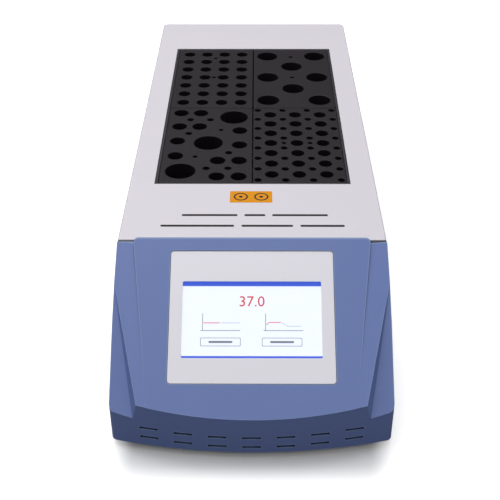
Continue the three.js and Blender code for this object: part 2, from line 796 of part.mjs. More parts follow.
for (const [name, side] of [["fuse_left", -1], ["fuse_right", 1]]) {
  const fuse = lyingRod("y", 2.5, fuseLength, inlet.x + side * fuseX, fuseMiddleY, drawerMiddle, 10);
  place(name, fuse, glass);
}

const switchPivot = [flangeFace - 2.2, rocker.z]; // y and z of the rocker's axis
const rockerTilt = THREE.MathUtils.degToRad(11);

function switchCase() {
  const flange = block(
    [rocker.x - 10.5, flangeBack, rocker.z - 16],
    [rocker.x + 10.5, flangeFace, rocker.z + 16],
  );
  const body = block(
    [rocker.x - 8, backY - 30, rocker.z - 13],
    [rocker.x + 8, flangeBack + 1, rocker.z + 13],
  );
  const cavity = block(
    [rocker.x - 6.3, flangeFace - 11, rocker.z - 11.4],
    [rocker.x + 6.3, backY + 1, rocker.z + 11.4],
  );
  return cut(joined(flange, body), cavity);
}
place("switch_case", switchCase(), blackPlastic);

// The rocker rests with its upper end pressed in; its face is a shallow V.
function switchRocker() {
  const [y, z] = switchPivot;
  const outline = [[-5.5, -5], [-1, -10.4], [3.4, -10.4], [1.6, 0], [3.4, 10.4], [-1, 10.4], [-5.5, 5]];
  const turnedOutline = outline.map(([dy, dz]) => [
    y + dy * Math.cos(rockerTilt) - dz * Math.sin(rockerTilt),
    z + dy * Math.sin(rockerTilt) + dz * Math.cos(rockerTilt),
  ]);
  return across(turnedOutline.reverse(), rocker.x - 5.9, rocker.x + 5.9);
}
place("power_rocker", switchRocker(), blackPlastic);

place("rating_plate", block([24, panelFaceY + gap, 22], [74, panelFaceY + gap + 0.6, 27]), labelSilver);

export default machine;
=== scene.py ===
"""Dry block heater: finished surfaces, printed details and the lit screen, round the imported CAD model.

Lengths in the named values are millimetres, and MM turns them into metres. The front faces -Y. +Z is up.
"""

import json
import math

import bmesh
import bpy
from mathutils import Matrix, Vector


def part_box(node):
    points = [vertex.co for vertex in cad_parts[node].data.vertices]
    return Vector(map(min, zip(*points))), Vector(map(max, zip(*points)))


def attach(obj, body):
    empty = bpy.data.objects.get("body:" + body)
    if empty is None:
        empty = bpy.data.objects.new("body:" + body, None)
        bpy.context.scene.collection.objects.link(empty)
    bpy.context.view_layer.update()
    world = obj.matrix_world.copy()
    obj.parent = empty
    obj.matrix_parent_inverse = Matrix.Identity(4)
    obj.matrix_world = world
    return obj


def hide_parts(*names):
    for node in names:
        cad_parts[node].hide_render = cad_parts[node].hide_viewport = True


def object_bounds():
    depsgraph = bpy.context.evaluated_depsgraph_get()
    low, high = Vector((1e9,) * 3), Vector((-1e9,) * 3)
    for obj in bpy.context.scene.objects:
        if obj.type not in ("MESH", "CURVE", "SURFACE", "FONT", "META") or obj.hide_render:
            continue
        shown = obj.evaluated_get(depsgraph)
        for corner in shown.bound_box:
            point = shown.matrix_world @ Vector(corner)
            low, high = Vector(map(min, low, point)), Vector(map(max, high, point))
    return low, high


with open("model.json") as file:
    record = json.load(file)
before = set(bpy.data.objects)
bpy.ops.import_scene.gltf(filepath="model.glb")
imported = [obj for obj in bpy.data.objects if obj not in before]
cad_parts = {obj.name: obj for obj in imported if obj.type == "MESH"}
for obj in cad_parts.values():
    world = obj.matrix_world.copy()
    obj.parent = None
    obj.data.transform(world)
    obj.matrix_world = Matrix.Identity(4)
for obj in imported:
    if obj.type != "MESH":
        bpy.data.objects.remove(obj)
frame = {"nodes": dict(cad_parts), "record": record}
first_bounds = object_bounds()

MM = 0.001

# ---- Places worked out from the frame ----
cover_low, cover_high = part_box("top_cover")
SEAM_Y = cover_low.y  # where the cover meets the front housing
TOP_Z = cover_high.z
# The deck's frame: x across, y back, z up, from the middle of the seam.
DECK = Matrix.Translation((0, SEAM_Y, TOP_Z))
PANEL_ANGLE = math.radians(36)
PANEL_LIFT = 1.3  # height of the control panel's plane above the cover, at the seam
# The control panel's frame: x across, y up the slope, z out of the panel, from the middle of the seam.
PANEL = Matrix.Translation((0, SEAM_Y, TOP_Z + PANEL_LIFT * MM)) @ Matrix.Rotation(PANEL_ANGLE, 4, "X")


# ---- Node trees ----
OCCLUSION_SAMPLES = 8
HIGHLIGHT_AND_WEAR_STARTS, HIGHLIGHT_AND_WEAR_IS_FULL = 0.95, 0.6  # share of solid behind the surface, which falls at a sharp edge, where edges get a painted highlight and wear


class Shader:
    """A new material with a Principled shader, and short ways to add nodes to it."""

    def __init__(self, name, color, roughness, metallic=0.0, **sockets):
        self.name = name
        self.material = bpy.data.materials.new(name)
        self.material.use_nodes = True
        self.tree = self.material.node_tree
        self.surface = self.tree.nodes["Principled BSDF"]
        self.material.diffuse_color = (*color, 1)
        self.set(self.surface, {"Base Color": (*color, 1), "Roughness": roughness, "Metallic": metallic})
        self.set(self.surface, sockets)
        self.place = self.add("ShaderNodeTexCoord").outputs["Object"]

    def add(self, kind, inputs=None, **settings):
        node = self.tree.nodes.new(kind)
        for key, value in settings.items():
            setattr(node, key, value)
        self.set(node, inputs or {})
        return node

    def set(self, node, inputs):
        """Links each input to a node's output, or gives it a value."""
        for key, value in inputs.items():
            if isinstance(value, bpy.types.NodeSocket):
                self.tree.links.new(value, node.inputs[key])
            else:
                node.inputs[key].default_value = value

    def show(self, shader_output):
        """Makes another shader than the Principled one the material's surface."""
        self.set(self.tree.nodes["Material Output"], {"Surface": shader_output})

    def noise(self, size, detail=2.0, stretch=(1, 1, 1)):
        """Noise whose grains are about size mm."""
        moved = self.add("ShaderNodeMapping", {"Vector": self.place, "Scale": stretch})
        texture = self.add(
            "ShaderNodeTexNoise",
            {"Vector": moved.outputs["Vector"], "Scale": 1 / (size * MM), "Detail": detail},
        )
        return texture.outputs["Fac"]

    def spread(self, value, low, high):
        """A 0 to 1 value spread between low and high."""
        return self.mapped(value, 0.0, 1.0, low, high)

    def mapped(self, value, from_low, from_high, to_low, to_high, **settings):
        """A value held within one range and mapped onto another."""
        ends = {"From Min": from_low, "From Max": from_high, "To Min": to_low, "To Max": to_high}
        return self.add("ShaderNodeMapRange", {"Value": value, **ends}, **settings).outputs["Result"]

    def mixed(self, share, first, second):
        """The first colour at share 0 and the second at 1. Each is (r, g, b) or a node's output."""
        node = self.add("ShaderNodeMix", data_type="RGBA")
        ends = [end if isinstance(end, bpy.types.NodeSocket) else (*end, 1) for end in (first, second)]
        self.set(node, {0: share, 6: ends[0], 7: ends[1]})
        return node.outputs[2]

    def vary_color(self, size, first, second, stretch=(1, 1, 1)):
        self.set(self.surface, {"Base Color": self.mixed(self.noise(size, 3.0, stretch), first, second)})
        return self

    def vary_roughness(self, size, low, high, stretch=(1, 1, 1)):
        self.set(self.surface, {"Roughness": self.spread(self.noise(size, 3.0, stretch), low, high)})
        return self

    def grain(self, size, height, stretch=(1, 1, 1)):
        """A bump of the given grain size and height, in mm, on top of what the surface already has."""
        bump = self.add(
            "ShaderNodeBump",
            {"Height": self.noise(size, 2.0, stretch), "Distance": height * MM, "Strength": 1.0},
        )
        before = self.surface.inputs["Normal"].links
        if before:
            self.set(bump, {"Normal": before[0].from_socket})
        self.set(self.surface, {"Normal": bump.outputs["Normal"]})
        return self

    def painted_crevice_shade(self, color, reach, closed=0.4, open_at=0.68):
        """Painted shade, darker inside slots and narrow gaps where little light gets in. Reach is in mm.

        The surface has the full colour where less than the closed share of the sky shows, and none of it
        from the open_at share up.
        """
        sky = self.add("ShaderNodeAmbientOcclusion", {"Distance": reach * MM}, samples=OCCLUSION_SAMPLES)
        return self.over_base(self.mapped(sky.outputs["AO"], closed, open_at, 1.0, 0.0), color)

    def worn_and_highlit_edges(self, color, amount=0.5, reach=0.9):
        """Lighter where edges stick out: a painted highlight, and wear as handling leaves it. Reach is in
        mm.
        """
        behind = self.add(
            "ShaderNodeAmbientOcclusion", {"Distance": reach * MM}, samples=OCCLUSION_SAMPLES, inside=True
        )
        edge = self.mapped(behind.outputs["AO"], HIGHLIGHT_AND_WEAR_STARTS, HIGHLIGHT_AND_WEAR_IS_FULL, 0.0, amount)
        return self.over_base(edge, color)

    def over_base(self, share, color):
        """Lays a colour over the one that the surface already has."""
        base = self.surface.inputs["Base Color"]
        start = base.links[0].from_socket if base.links else base.default_value[:3]
        self.set(self.surface, {"Base Color": self.mixed(share, start, color)})
        return self


# ---- Materials: one for each slot, then the lit picture and the inks ----
def cover_paint():
    shader = Shader("cover_paint", (0.65, 0.62, 0.675), 0.42)
    shader.vary_color(60, (0.64, 0.61, 0.665), (0.66, 0.63, 0.685))
    shader.vary_roughness(9, 0.36, 0.5).grain(0.9, 0.012).grain(0.35, 0.006)
    # Painted shade: near black in narrow gaps, such as the slit at the cover's front edge.
    return shader.painted_crevice_shade((0.04, 0.036, 0.04), 2.5, 0.38, 0.62)


def housing_blue():
    shader = Shader("housing_blue", (0.147, 0.212, 0.483), 0.45)
    shader.vary_color(45, (0.142, 0.206, 0.473), (0.152, 0.22, 0.493))
    # Painted highlight: lighter along the panel's raised edges. Painted shade: near black inside the vents
    # and other slots.
    shader.vary_roughness(6, 0.4, 0.52).grain(0.5, 0.02).worn_and_highlit_edges((0.3, 0.41, 0.62), 0.75)
    return shader.painted_crevice_shade((0.006, 0.01, 0.03), 4)


def bezel_grey():
    shader = Shader("bezel_grey", (0.87, 0.85, 0.92), 0.38)
    shader.vary_color(30, (0.86, 0.84, 0.91), (0.88, 0.86, 0.93))
    return shader.vary_roughness(5, 0.33, 0.43).grain(0.4, 0.006)


def anodised_black():
    shader = Shader("anodised_black", (0.009, 0.006, 0.009), 0.5, **{"Specular IOR Level": 0.28})
    shader.vary_color(18, (0.007, 0.004, 0.0072), (0.012, 0.008, 0.012), (1, 0.35, 1))
    return shader.vary_roughness(3, 0.44, 0.58).grain(0.28, 0.012)


def liner_black():
    shader = Shader("liner_black", (0.018, 0.016, 0.02), 0.5)
    return shader.vary_color(7, (0.015, 0.013, 0.017), (0.024, 0.021, 0.026)).grain(0.4, 0.01)


def aluminium():
    shader = Shader("aluminium", (0.62, 0.63, 0.65), 0.35, 1.0)
    return shader.vary_roughness(1.2, 0.25, 0.45, (1, 0.04, 1)).grain(0.5, 0.003, (1, 0.04, 1))


def steel():
    shader = Shader("steel", (0.5, 0.5, 0.52), 0.3, 1.0)
    return shader.vary_color(4, (0.44, 0.44, 0.46), (0.55, 0.55, 0.57)).vary_roughness(0.8, 0.2, 0.4)


def zinc_sheet():
    shader = Shader("zinc_sheet", (0.42, 0.43, 0.45), 0.45, 1.0)
    spangle = shader.add("ShaderNodeTexVoronoi", {"Vector": shader.place, "Scale": 1 / (7 * MM)})
    color = shader.mixed(spangle.outputs["Distance"], (0.36, 0.37, 0.39), (0.48, 0.49, 0.51))
    shader.set(shader.surface, {"Base Color": color})
    return shader.vary_roughness(5, 0.38, 0.55).grain(0.6, 0.004)


def rubber():
    shader = Shader("rubber", (0.014, 0.014, 0.015), 0.8)
    return shader.vary_color(3, (0.011, 0.011, 0.012), (0.02, 0.02, 0.021)).grain(0.4, 0.02)


def black_plastic():
    shader = Shader("black_plastic", (0.016, 0.016, 0.018), 0.4)
    # Lighter along its sharp edges.
    return shader.vary_roughness(3, 0.34, 0.48).grain(0.35, 0.01).worn_and_highlit_edges((0.05, 0.05, 0.055))


def wool():
    shader = Shader("wool", (0.62, 0.58, 0.5), 0.95)
    return shader.vary_color(4, (0.52, 0.48, 0.4), (0.68, 0.64, 0.56)).grain(1.4, 0.5)


def silicone():
    shader = Shader("silicone", (0.4, 0.08, 0.035), 0.6)
    return shader.vary_color(10, (0.36, 0.07, 0.03), (0.43, 0.09, 0.04)).grain(0.8, 0.05)


def board():
    shader = Shader("board", (0.02, 0.11, 0.05), 0.3)
    return shader.vary_color(5, (0.012, 0.08, 0.035), (0.03, 0.14, 0.065)).grain(0.5, 0.01)


def copper():
    """Wound copper wire, with level strands."""
    shader = Shader("copper", (0.5, 0.26, 0.12), 0.35, 0.9)
    shader.vary_color(1.2, (0.42, 0.2, 0.09), (0.6, 0.33, 0.16), (1, 1, 0.1))
    return shader.grain(0.6, 0.03, (0.1, 0.1, 1))


def ribbon():
    shader = Shader("ribbon", (0.36, 0.38, 0.42), 0.5)
    return shader.vary_color(1.3, (0.28, 0.3, 0.34), (0.42, 0.44, 0.48), (1, 0.05, 0.05)).grain(0.8, 0.02)


def terminal():
    shader = Shader("terminal", (0.6, 0.58, 0.52), 0.5)
    return shader.vary_color(5, (0.56, 0.54, 0.48), (0.63, 0.61, 0.55)).grain(0.5, 0.01)


def label():
    shader = Shader("label", (0.5, 0.51, 0.53), 0.4, 0.7)
    return shader.vary_roughness(0.5, 0.3, 0.5, (1, 0.05, 1)).grain(0.5, 0.002)


def fuse_glass():
    shader = Shader("glass", (0.85, 0.9, 0.9), 0.06, **{"Transmission Weight": 0.9, "IOR": 1.5})
    return shader.vary_roughness(3, 0.03, 0.1)


def touch_screen():
    """Clear glass over the picture: see-through, with a sharp sheen and faint finger marks."""
    shader = Shader("screen", (0.9, 0.92, 0.96), 0.05)
    clear = shader.add("ShaderNodeBsdfTransparent", {"Color": (0.97, 0.98, 1.0, 1)})
    marks = shader.spread(shader.noise(14, 3.0), 0.03, 0.12)
    sheen = shader.add("ShaderNodeBsdfGlossy", {"Color": (1, 1, 1, 1), "Roughness": marks})
    glancing = shader.add("ShaderNodeFresnel", {"IOR": 1.4})
    inner_side = shader.add("ShaderNodeNewGeometry").outputs["Backfacing"]
    outer_side = shader.add("ShaderNodeMath", {0: 1.0, 1: inner_side}, operation="SUBTRACT")
    share = shader.add(
        "ShaderNodeMath", {0: glancing.outputs["Fac"], 1: outer_side.outputs["Value"]}, operation="MULTIPLY"
    )
    ends = {1: clear.outputs["BSDF"], 2: sheen.outputs["BSDF"]}
    mix = shader.add("ShaderNodeMixShader", {0: share.outputs["Value"], **ends})
    shader.show(mix.outputs["Shader"])
    return shader


PIXEL_PITCH, PIXEL_GAP = 0.2, 0.03


def lit_pixels(name, color, strength):
    """A part of the lit picture, with the fine grid of a display's pixels."""

    def faded(share):
        return tuple(share * c for c in color)

    shader = Shader(name, faded(0.3), 0.4)
    grid_lines = shader.add(
        "ShaderNodeTexBrick",
        {
            "Vector": shader.place,
            "Color1": (*color, 1),
            "Color2": (*faded(0.97), 1),
            "Mortar": (*faded(0.86), 1),
            "Scale": 1.0,
            "Mortar Size": PIXEL_GAP * MM,
            "Brick Width": PIXEL_PITCH * MM,
            "Row Height": PIXEL_PITCH * MM,
        },
        offset=0.0,
    )
    glow = {"Emission Color": grid_lines.outputs["Color"], "Emission Strength": strength}
    shader.set(shader.surface, glow)
    return shader.material


def ink(name, color):
    shader = Shader(name, color, 0.6, **{"Specular IOR Level": 0.15})
    darker = tuple(0.85 * c for c in color)
    return shader.vary_color(1.5, darker, color).grain(0.5, 0.004).material


CASING_RECIPES = (cover_paint, housing_blue, bezel_grey, touch_screen, black_plastic, rubber, label)
WELL_RECIPES = (anodised_black, liner_black, aluminium, silicone, wool)
INNER_RECIPES = (steel, zinc_sheet, board, copper, ribbon, terminal, fuse_glass)
MATERIALS = {}
for recipe in CASING_RECIPES + WELL_RECIPES + INNER_RECIPES:
    shader = recipe()
    MATERIALS[shader.name] = shader.material
SLOT_OF = {part["node"]: part["material_slot"] for part in frame["record"]["subparts"]}
BODY_OF = {}
for body, nodes in frame["record"]["behaviour"]["bodies"].items():
    BODY_OF.update(dict.fromkeys(nodes, body))
for node, piece in frame["nodes"].items():
    piece.data.materials.clear()
    piece.data.materials.append(MATERIALS[SLOT_OF[node]])


# ---- Making pieces ----
def linked(name, data):
    """A new object in the scene."""
    thing = bpy.data.objects.new(name, data)
    bpy.context.scene.collection.objects.link(thing)
    return thing


def piece_of(name, bm, material, body, smooth=35):
    """Turns a bmesh into a piece that rides on a body, smooth wherever faces meet under that angle."""
    bmesh.ops.recalc_face_normals(bm, faces=bm.faces)
    mesh = bpy.data.meshes.new(name)
    bm.to_mesh(mesh)
    bm.free()
    mesh.materials.append(material)
    mesh.shade_smooth()
    mesh.set_sharp_from_angle(angle=math.radians(smooth))
    piece = linked(name, mesh)
    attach(piece, body)
    return piece


def stand_in(name, bm, node, smooth):
    """A piece that takes a CAD node's place, with flat faces that look flat beside its rounded edges."""
    piece = piece_of(name, bm, MATERIALS[SLOT_OF[node]], BODY_OF[node], smooth)
    weighted = piece.modifiers.new("even_shading", "WEIGHTED_NORMAL")
    weighted.keep_sharp = True
    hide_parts(node)


MERGE_DISTANCE = 1e-6  # metres
FLAT_UNDER = math.radians(0.4)  # CAD faces that meet under this angle are one flat face


def refined(node, width, facets, angle=28, smooth=35, shaped=None):
    """The CAD node with its flat faces merged and its edges rounded to width mm, in the node's place.

    An edge is rounded where its faces meet over the angle. Shaped changes the mesh before that.
    """
    bm = bmesh.new()
    bm.from_mesh(frame["nodes"][node].data)
    bmesh.ops.remove_doubles(bm, verts=bm.verts, dist=MERGE_DISTANCE)
    bmesh.ops.dissolve_limit(bm, angle_limit=FLAT_UNDER, verts=bm.verts, edges=bm.edges)
    if shaped:
        shaped(bm)
    limit = math.radians(angle)
    bmesh.ops.bevel(
        bm,
        geom=[edge for edge in bm.edges if edge.is_manifold and edge.calc_face_angle(0) > limit],
        offset=width * MM,
        segments=facets,
        profile=0.5,
        affect="EDGES",
        clamp_overlap=True,
        harden_normals=False,
    )
    stand_in(node + "_finished", bm, node, smooth)


def rounded_outline(width, height, radius, steps=6):
    """Points of a rounded rectangle round the origin, anticlockwise, in the same units as its size."""
    points = []
    for corner in range(4):
        middle_x = (width / 2 - radius) * (1 if corner in (0, 3) else -1)
        middle_y = (height / 2 - radius) * (1 if corner < 2 else -1)
        for i in range(steps + 1):
            a = math.pi / 2 * (corner + i / steps)
            points.append((middle_x + radius * math.cos(a), middle_y + radius * math.sin(a)))
    return points


def bridge(bm, lower, upper):
    """Quads between two rings of as many vertices each."""
    count = len(lower)
    for i in range(count):
        j = (i + 1) % count
        bm.faces.new((lower[i], lower[j], upper[j], upper[i]))


# ---- Blocks ----
# Wells: diameter, depth, height of the cone at the bottom, and how many points round the circle.
WELL_KINDS = {
    "strip": (5.8, 18, 5, 24),
    "micro": (10.8, 36, 12, 32),
    "vial": (12.8, 40, 4, 36),
    "culture": (20.3, 44, 3, 44),
    "centrifuge": (24.8, 44, 6, 48),
    "lifting": (4.0, 14, 1, 20),
}


def grid(columns, rows, pitch_x, pitch_y):
    return [
        ((i - (columns - 1) / 2) * pitch_x, (j - (rows - 1) / 2) * pitch_y)
        for i in range(columns)
        for j in range(rows)
    ]


def with_half_turn(places):
    return places + [(-x, -y) for x, y in places]


# Places of each block's wells, from the block's middle.
DRILLINGS = {
    "block_front_right": {
        "micro": grid(3, 7, 22.4, 17.95),
        "strip": grid(4, 8, 22.4, 17.95),
        "lifting": [(-11.2, 0), (11.2, 0)],
    },
    "block_front_left": {
        "centrifuge": [(0, 0)] + with_half_turn([(21.1, 48.6)]),
        "vial": with_half_turn(
            [(-26.8, 57.2), (-9, 57.2), (-26.8, 30.7), (-9, 30.7), (-26.8, 3.5), (-26.8, -23)]
        ),
        "strip": with_half_turn([(-17.9, 43.9), (0, 43.9), (-17.9, 17.4)]),
        "lifting": with_half_turn([(10.2, 24.2)]),
    },
    "block_back_right": {
        "culture": with_half_turn([(23.9, 0), (23.9, 51.1), (-23.9, 51.1), (0, 25.8)]),
        "lifting": [(0, 0), (0, 49.6)],
    },
    "block_back_left": {
        "micro": grid(4, 7, 17.8, 18.6),
        "lifting": [(0, 0), (0, 46.5)],
    },
}
WELL_EDGE = 0.45  # rounding of each well's mouth
BLOCK_EDGE = 0.4  # rounding of the block's top edge
BLOCK_CORNER = 1.2  # radius of the block's upright corners
EDGE_FACETS = 3
EDGE_ANGLES = [math.pi / 2 * i / EDGE_FACETS for i in range(EDGE_FACETS + 1)]
FLAT_RIM = 0.12  # flat band that keeps the rounding's shading off the block's top
# The flat tip of each well's cone, as shares of the well's radius and of the cone's height.
TIP_RADIUS, TIP_HEIGHT = 0.3, 0.12


def ring(bm, x, y, z, radius, count):
    angles = [2 * math.pi * i / count for i in range(count)]
    return [bm.verts.new((x + radius * math.cos(a), y + radius * math.sin(a), z)) for a in angles]


def drilled_well(bm, x, y, top, kind):
    """A well with a rounded mouth and a cone at the bottom. Returns the ring at its mouth."""
    diameter, depth, cone, count = WELL_KINDS[kind]
    radius, edge = diameter / 2 * MM, WELL_EDGE * MM
    rings = [ring(bm, x, y, top, radius + edge + FLAT_RIM * MM, count)]
    for a in EDGE_ANGLES:
        mouth = radius + edge * (1 - math.sin(a))
        rings.append(ring(bm, x, y, top - edge * (1 - math.cos(a)), mouth, count))
    bottom = top - depth * MM
    rings.append(ring(bm, x, y, bottom + cone * MM, radius, count))
    rings.append(ring(bm, x, y, bottom + TIP_HEIGHT * cone * MM, radius * TIP_RADIUS, count))
    for upper, lower in zip(rings, rings[1:]):
        bridge(bm, lower, upper)
    bm.faces.new(rings[-1])
    return rings[0]


def drilled_block(node):
    """A machined block with rounded edges and every one of its wells, in the CAD block's place."""
    low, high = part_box(node)
    middle_x, middle_y = (low.x + high.x) / 2, (low.y + high.y) / 2
    bm = bmesh.new()

    def outline(inset, z):
        width, length = high.x - low.x - 2 * inset, high.y - low.y - 2 * inset
        points = rounded_outline(width, length, BLOCK_CORNER * MM - inset / 2)
        return [bm.verts.new((middle_x + x, middle_y + y, z)) for x, y in points]

    edge = BLOCK_EDGE * MM
    rings = [outline(edge / 2, low.z), outline(0, low.z + edge / 2)]
    for a in EDGE_ANGLES:
        rings.append(outline(edge * (1 - math.cos(a)), high.z - edge * (1 - math.sin(a))))
    rings.append(outline(edge + FLAT_RIM * MM, high.z))
    for lower, upper in zip(rings, rings[1:]):
        bridge(bm, lower, upper)
    bm.faces.new(rings[0][::-1])
    mouths = [rings[-1]]
    for kind, places in DRILLINGS[node].items():
        for dx, dy in places:
            mouths.append(drilled_well(bm, middle_x + dx * MM, middle_y + dy * MM, high.z, kind))
    rims = [bm.edges.get((a, b)) for mouth in mouths for a, b in zip(mouth, mouth[1:] + mouth[:1])]
    bmesh.ops.triangle_fill(bm, edges=rims, use_beauty=True, normal=(0, 0, 1))
    stand_in(node + "_machined", bm, node, smooth=40)


for node in DRILLINGS:
    drilled_block(node)

# ---- Casing and small parts, from their CAD nodes ----
ROLL_LENGTH, ROLL_DROP = 5.0, 0.3
ROLL_STEPS = 4
ROLL_DEPTH = 1.6  # what lies deeper than this below the deck's top stays, such as its underside


def rolled_front(bm):
    """Lets the deck curve down over the last few mm before the seam."""
    for step in range(ROLL_STEPS, 0, -1):
        bmesh.ops.bisect_plane(
            bm,
            geom=bm.verts[:] + bm.edges[:] + bm.faces[:],
            plane_co=(0, SEAM_Y + step / ROLL_STEPS * ROLL_LENGTH * MM, 0),
            plane_no=(0, 1, 0),
        )
    for vert in bm.verts:
        near = 1 - (vert.co.y - SEAM_Y) / (ROLL_LENGTH * MM)
        if near > 0 and vert.co.z > TOP_Z - ROLL_DEPTH * MM:
            vert.co.z -= ROLL_DROP * MM * near**2


BEZEL_TOP, BEZEL_BOTTOM = -10.1, -107.6  # up the slope from the seam
FACE_AT_TOP, FACE_AT_BOTTOM = -0.45, 0.15  # height of the bezel's face out of the panel
FACE_OVER = 0.5  # what stands higher than this out of the panel is the CAD bezel's face


def set_in(bm):
    """Lays the bezel's face into the panel: a little below it at the top, a little above at the bottom."""
    to_panel = PANEL.inverted()
    for vert in bm.verts:
        place = to_panel @ vert.co
        if place.z > FACE_OVER * MM:
            share = (place.y / MM - BEZEL_BOTTOM) / (BEZEL_TOP - BEZEL_BOTTOM)
            place.z = (FACE_AT_BOTTOM + (FACE_AT_TOP - FACE_AT_BOTTOM) * share) * MM
            vert.co = PANEL @ place


refined("top_cover", 0.7, 3, shaped=rolled_front)
refined("front_housing", 0.8, 3, angle=12, smooth=40)
refined("screen_bezel", 0.2, 3, shaped=set_in)
refined("well_liner", 0.3, 2)
refined("rear_panel", 0.3, 2)
refined("base_tray", 0.3, 2)
refined("inlet_socket", 0.35, 2)
refined("fuse_drawer", 0.3, 2)
refined("switch_case", 0.5, 3)
refined("power_rocker", 0.6, 3)
refined("heater_plate", 0.5, 2)
for corner in ("front_left", "front_right", "back_left", "back_right"):
    refined("foot_" + corner, 0.4, 2)


# ---- Printed marks ----
def plates_on(surface, name, layer, material, outlines, holes=()):
    """Flat shapes on a surface, in one piece.

    An outline or a hole is a list of (x, y) in mm. The first holes go with the first outlines. The layer is
    the height of the shapes' back above the surface and their thickness.
    """
    bm = bmesh.new()
    height, thickness = layer

    def both_sides(outline):
        return [
            [bm.verts.new(surface @ Vector((x * MM, y * MM, z * MM))) for x, y in outline]
            for z in (height, height + thickness)
        ]

    for index, outline in enumerate(outlines):
        back, face = both_sides(outline)
        bridge(bm, back, face)
        if index < len(holes):
            hole_back, hole_face = both_sides(holes[index])
            bridge(bm, hole_face, hole_back)
            bridge(bm, hole_back, back)
            bridge(bm, face, hole_face)
        else:
            bm.faces.new(back[::-1])
            bm.faces.new(face)
    piece_of(name, bm, material, "chassis")


def shifted(points, dx, dy):
    return [(x + dx, y + dy) for x, y in points]


def circle(radius, dx, dy, count=28):
    angles = [math.tau * i / count for i in range(count)]
    return [(dx + radius * math.cos(a), dy + radius * math.sin(a)) for a in angles]


BAR_HEIGHT, BAR_CORNER = 2.6, 1.0


def word_bars(word_lengths, middle, span):
    """A plain bar for each word in a line of print, as long as a word of so many letters."""
    letter = span / (sum(word_lengths) + len(word_lengths) - 1)
    left = middle[0] - span / 2
    bars = []
    for count in word_lengths:
        length = count * letter
        outline = rounded_outline(length, BAR_HEIGHT, BAR_CORNER, 4)
        bars.append(shifted(outline, left + length / 2, middle[1]))
        left += length + letter
    return bars


LABEL_LAYER = (0.02, 0.12)
SIGN_LAYER = (0.15, 0.05)
PRINT_LAYER = (0.02, 0.06)
AMBER = ink("label_amber", (0.74, 0.29, 0.004))
PRINT_BLACK = ink("print_black", (0.03, 0.028, 0.032))

LABEL_MIDDLE = (-1.0, 59.5)
LABEL_WIDTH, LABEL_HEIGHT, LABEL_CORNER = 33, 16.7, 1.0
label_outline = shifted(rounded_outline(LABEL_WIDTH, LABEL_HEIGHT, LABEL_CORNER), *LABEL_MIDDLE)
plates_on(DECK, "warning_label", LABEL_LAYER, AMBER, [label_outline])

# Two plain signs on the label, each a ring with a dot.
SIGN_ASIDE = 8  # from the label's middle to each sign's
SIGN_OUTER, SIGN_INNER, SIGN_DOT = 5.6, 4.4, 1.5  # radii
SIGNS = [(LABEL_MIDDLE[0] + aside, LABEL_MIDDLE[1]) for aside in (-SIGN_ASIDE, SIGN_ASIDE)]
sign_discs = [circle(SIGN_OUTER, *sign) for sign in SIGNS]
sign_holes = [circle(SIGN_INNER, *sign) for sign in SIGNS]
sign_dots = [circle(SIGN_DOT, *sign, 16) for sign in SIGNS]
plates_on(DECK, "label_rings", SIGN_LAYER, PRINT_BLACK, sign_discs + sign_dots, sign_holes)

# Two lines of print: the letters in each word, the line's middle and its width.
PRINT_LINES = [([8, 3, 8], (2.0, 32.9), 110.8), ([10, 7, 6], (0.3, 18.1), 137.6)]
deck_bars = [word for line in PRINT_LINES for word in word_bars(*line)]
plates_on(DECK, "deck_print", PRINT_LAYER, PRINT_BLACK, deck_bars)

# ---- The lit picture behind the touch glass ----
SCREEN_WIDTH, SCREEN_HEIGHT = 99.3, 56.3
SCREEN_TOP = 33.2  # down the slope from the seam to the screen's top edge
SCREEN_DEPTH = 2.85  # from the panel's plane in to the picture
PICTURE_PLACE = (0, -(SCREEN_TOP + SCREEN_HEIGHT / 2) * MM, -SCREEN_DEPTH * MM)
# The picture's frame: x and y from its middle, z out of the screen.
PICTURE = PANEL @ Matrix.Translation(PICTURE_PLACE)
WHITE = lit_pixels("picture_white", (0.9, 0.93, 1.0), 0.95)
BLUE = lit_pixels("picture_blue", (0.05, 0.12, 0.72), 0.9)
RED = lit_pixels("picture_red", (0.75, 0.03, 0.04), 0.8)
GREY = lit_pixels("picture_grey", (0.25, 0.26, 0.3), 0.7)
PINK = lit_pixels("picture_trace", (0.8, 0.15, 0.2), 0.8)
SHADE = lit_pixels("picture_shade", (0.62, 0.66, 0.76), 0.9)
GROUND_LAYER = (0, 0.1)
MARK_LAYER = (0.12, 0.04)


def bar(x0, y0, x1, y1):
    return [(x0, y0), (x1, y0), (x1, y1), (x0, y1)]


def stroke(points, width):
    """A band of the given width along a polyline, as one outline."""
    left, right = [], []
    for i, (x, y) in enumerate(points):
        before, after = points[max(i - 1, 0)], points[min(i + 1, len(points) - 1)]
        dx, dy = after[0] - before[0], after[1] - before[1]
        length = math.hypot(dx, dy)
        nx, ny = -dy / length * width / 2, dx / length * width / 2
        left.append((x + nx, y + ny))
        right.append((x - nx, y - ny))
    return right + left[::-1]


def marks(name, material, outlines, holes=()):
    """Shapes drawn in the picture."""
    plates_on(PICTURE, name, MARK_LAYER, material, outlines, holes)


OVERLAP = 1  # the picture goes on this far behind the bezel
half_w, half_h = SCREEN_WIDTH / 2 + OVERLAP, SCREEN_HEIGHT / 2 + OVERLAP
plates_on(PICTURE, "picture_ground", GROUND_LAYER, WHITE, [bar(-half_w, -half_h, half_w, half_h)])

TOP_BAR = (3.9, 0.2)  # its lower and upper edge, down from the picture's top
BOTTOM_BAR = (0.3, 3.1)  # its lower and upper edge, up from the picture's bottom
top_bar = bar(-half_w, half_h - TOP_BAR[0], half_w, half_h - TOP_BAR[1])
bottom_bar = bar(-half_w, -half_h + BOTTOM_BAR[0], half_w, -half_h + BOTTOM_BAR[1])
marks("picture_bars", BLUE, [top_bar, bottom_bar])

